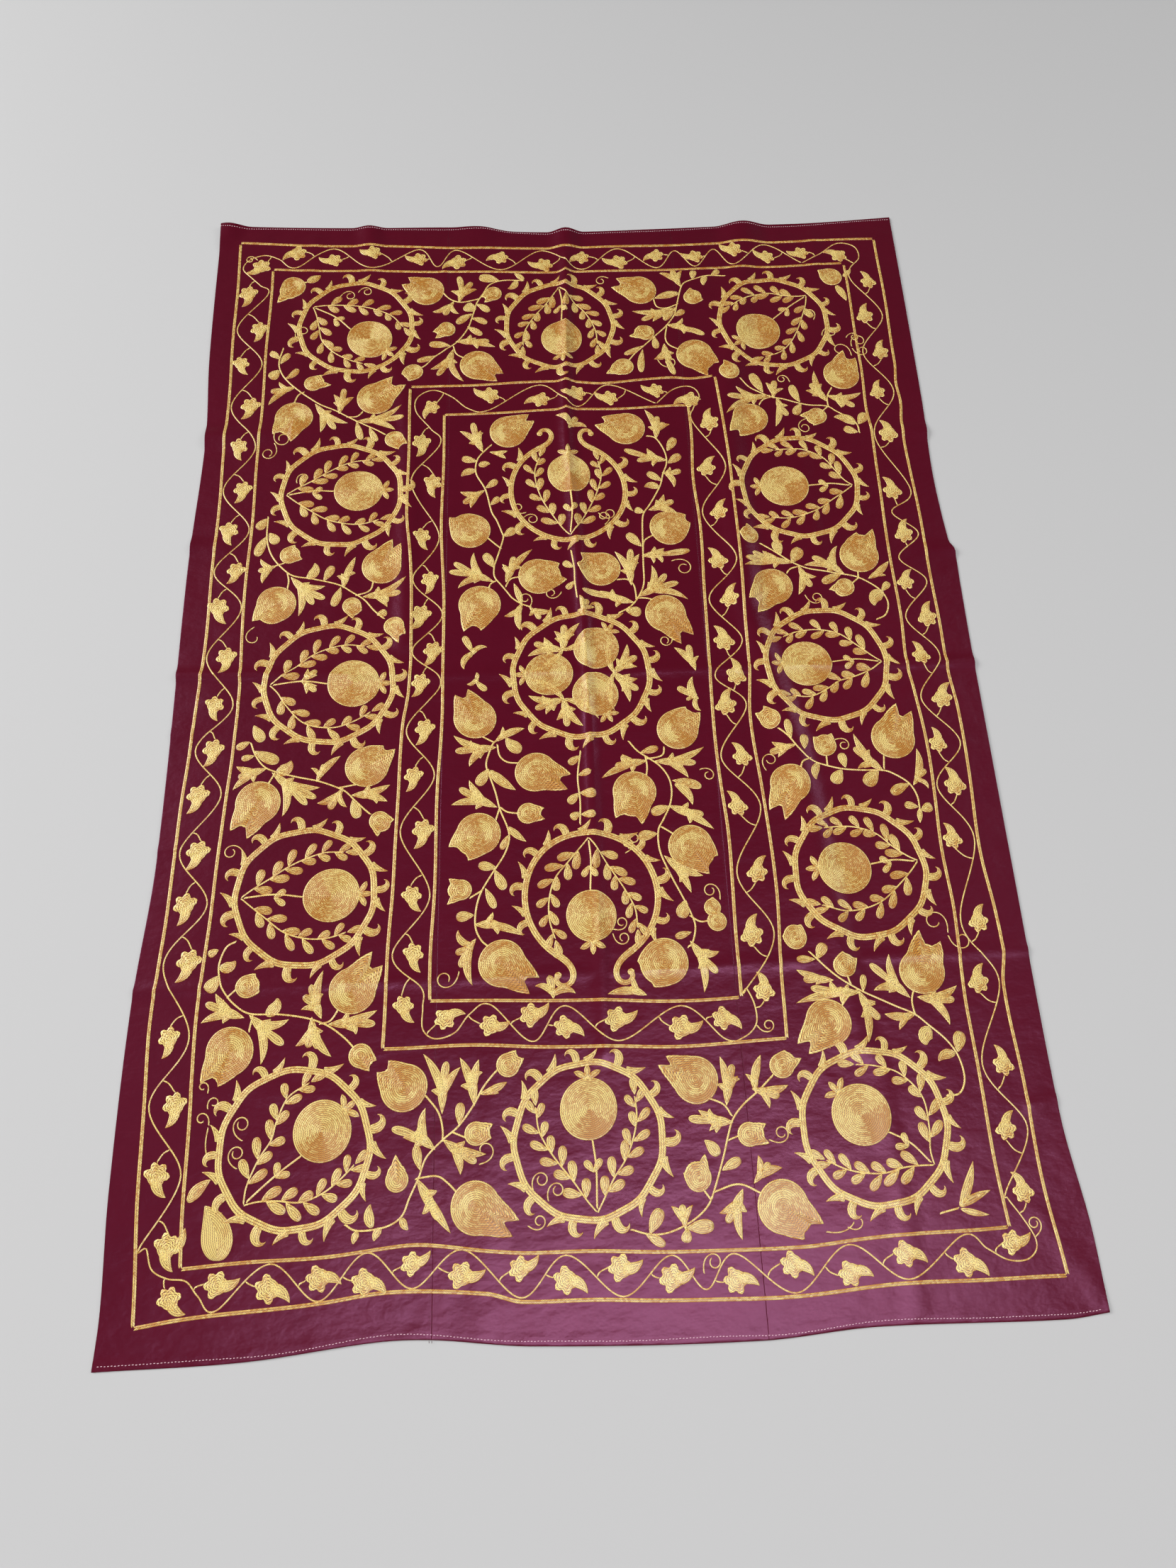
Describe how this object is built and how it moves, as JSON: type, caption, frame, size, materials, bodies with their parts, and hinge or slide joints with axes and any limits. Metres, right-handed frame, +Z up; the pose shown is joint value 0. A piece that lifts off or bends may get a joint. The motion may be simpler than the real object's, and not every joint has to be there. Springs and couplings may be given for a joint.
{
  "type": "embroidered suzani cloth",
  "caption": "Large rectangular cotton cloth lying flat, with chain-stitched medallions, pomegranates, leafy vines and two line borders.",
  "frame": {"origin": "on the surface the cloth lies on, under the middle of its outer border, which is the middle of its outline within a few millimetres", "axes": "+Z up out of the embroidered face, +Y along the cloth's length towards its top edge, +X across its width to the right"},
  "size_m": [1.4023, 2.06, 0.0133],
  "materials": {
    "cotton_ground": "matt plain-woven cotton, deep maroon",
    "gold_thread": "silky chain-stitched thread, pale gold",
    "ochre_thread": "silky chain-stitched thread, ochre",
    "sewing_thread": "matt cotton sewing thread"
  },
  "bodies": {
    "root": {"panel_left": "cotton_ground", "panel_centre": "cotton_ground", "panel_right": "cotton_ground"}
  },
  "joints": []
}
